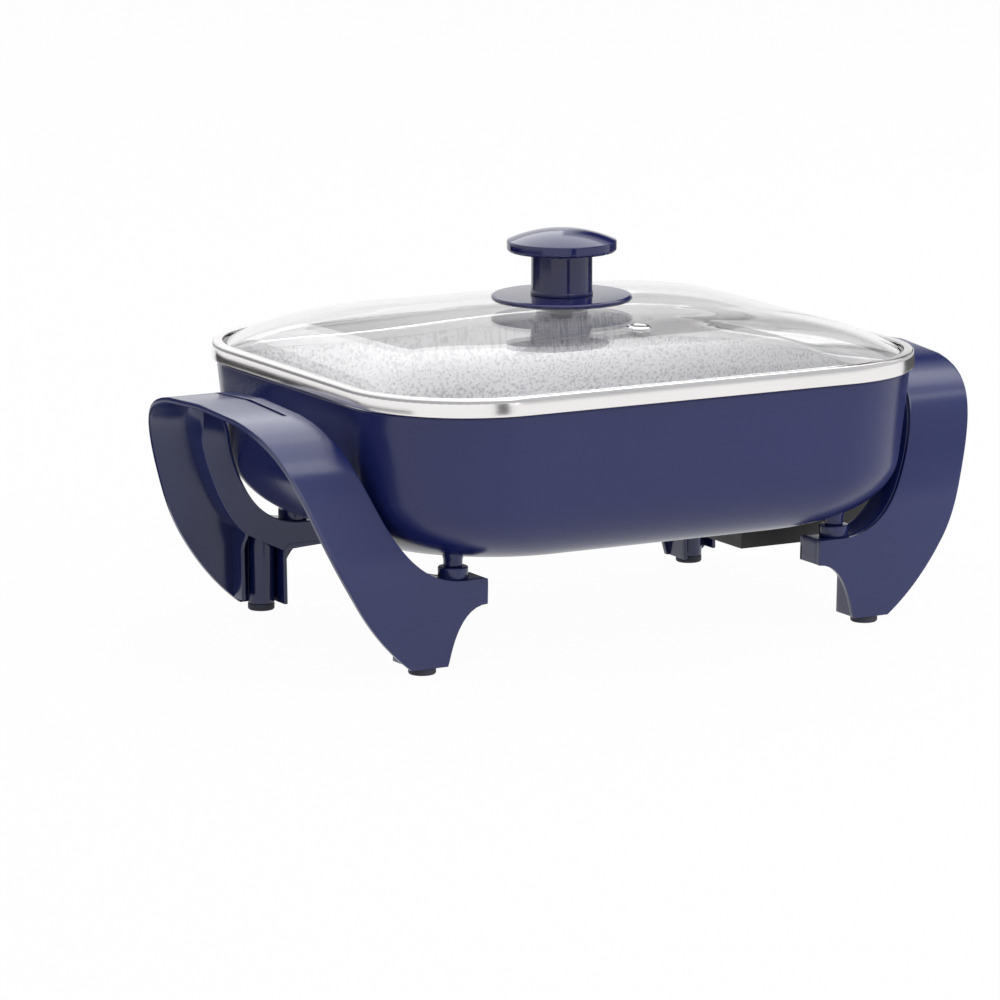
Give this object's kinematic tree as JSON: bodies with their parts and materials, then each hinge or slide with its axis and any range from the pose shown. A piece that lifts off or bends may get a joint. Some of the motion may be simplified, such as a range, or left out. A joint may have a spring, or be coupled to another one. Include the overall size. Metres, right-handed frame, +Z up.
{
  "type": "electric skillet",
  "caption": "Deep rectangular electric skillet on two bridge handles that are also its legs, with a lift-off domed glass lid, steel band, steam vent and round knob.",
  "frame": {"origin": "centre of the footprint on the table, under the knob's axis", "axes": "+X along the two handles to the right, -Y towards the front, +Z up"},
  "size_m": [0.399, 0.258, 0.1944],
  "materials": {
    "pan_enamel": "gloss navy outside, grey speckled non-stick inside",
    "handle_blue": "gloss navy moulding",
    "band_steel": "bright satin",
    "lid_glass": "clear tempered",
    "silicone": "translucent grey",
    "chrome": "polished",
    "steel": "plain",
    "aluminium": "mill",
    "heater_steel": "heat darkened",
    "socket_black": "matt black",
    "contact_brass": "plated",
    "foot_rubber": "matt dark"
  },
  "bodies": {
    "base": {"pan": "pan_enamel", "base_plate": "aluminium", "heating_element": "heater_steel", "element_clip_front": "aluminium", "element_clip_back": "aluminium", "terminal_guard": "socket_black", "terminal_pin_front": "contact_brass", "terminal_pin_back": "contact_brass", "thermostat_sleeve": "steel", "earth_tab": "steel", "guard_screw_front": "steel", "guard_screw_back": "steel", "handle_left": "handle_blue", "handle_right": "handle_blue", "spacer_left_front": "handle_blue", "spacer_left_back": "handle_blue", "spacer_right_front": "handle_blue", "spacer_right_back": "handle_blue", "handle_screw_left_front": "steel", "handle_screw_left_back": "steel", "handle_screw_right_front": "steel", "handle_screw_right_back": "steel", "foot_left_front": "foot_rubber", "foot_left_back": "foot_rubber", "foot_right_front": "foot_rubber", "foot_right_back": "foot_rubber", "foot_screw_left_front": "steel", "foot_screw_left_back": "steel", "foot_screw_right_front": "steel", "foot_screw_right_back": "steel"},
    "lid": {"lid_glass": "lid_glass", "lid_seal": "silicone", "lid_band": "band_steel", "vent_eyelet": "chrome", "knob_washer_top": "silicone", "knob_flange": "handle_blue", "knob_stem": "handle_blue", "knob_insert": "contact_brass", "knob_cap": "handle_blue", "knob_washer_bottom": "silicone", "knob_screw": "steel"}
  },
  "joints": [
    {"name": "lid_lift", "type": "slide", "parent": "base", "child": "lid", "axis": [0, 0, 1], "range_m": [0, 0.14]}
  ]
}
